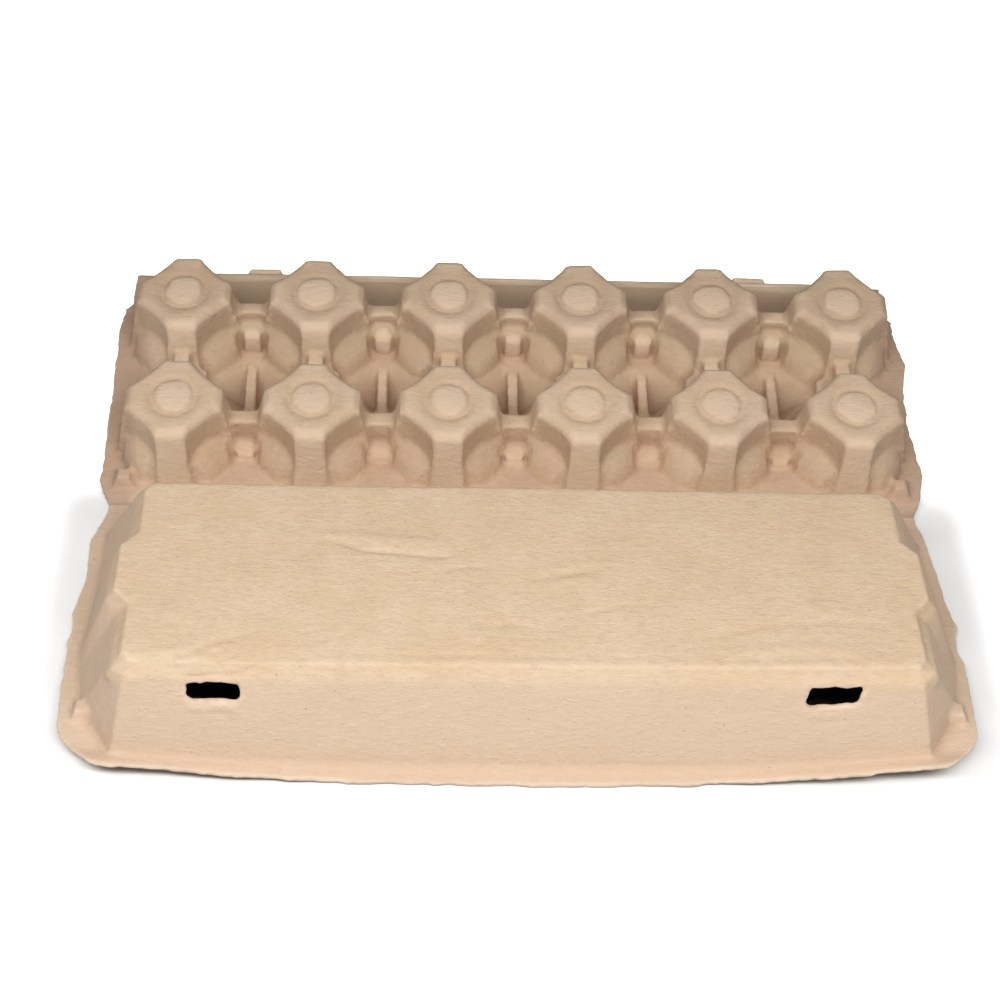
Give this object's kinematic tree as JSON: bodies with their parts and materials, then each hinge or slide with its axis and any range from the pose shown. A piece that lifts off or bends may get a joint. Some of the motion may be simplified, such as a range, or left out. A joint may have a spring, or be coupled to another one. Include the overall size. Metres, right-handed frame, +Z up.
{
  "type": "pulp egg carton",
  "caption": "Moulded pulp egg carton lying open and upside down, with a hinged lid and a folding latch flap.",
  "frame": {"origin": "on the table, under the middle of the opened carton's bounding box", "axes": "+X along the row of six cups to the right, +Y from the lid to the tray's latch side, +Z up"},
  "size_m": [0.2948, 0.249, 0.0441],
  "materials": {
    "pulp": "matte"
  },
  "bodies": {
    "tray": {"tray": "pulp"},
    "lid": {"lid": "pulp"},
    "latch_flap": {"latch_flap": "pulp"}
  },
  "joints": [
    {"name": "lid_fold", "type": "hinge", "parent": "tray", "child": "lid", "pos_m": [0, -0.00573, -0.00015], "axis": [1, 0, 0], "range_deg": [0, 190.44]},
    {"name": "flap_fold", "type": "hinge", "parent": "tray", "child": "latch_flap", "pos_m": [0, 0.10006, 0.0195], "axis": [1, 0, 0], "range_deg": [-58.7, 0]}
  ],
  "couplings": [
    {"joint": "flap_fold", "follows": "lid_fold", "ratio": -0.30814}
  ]
}
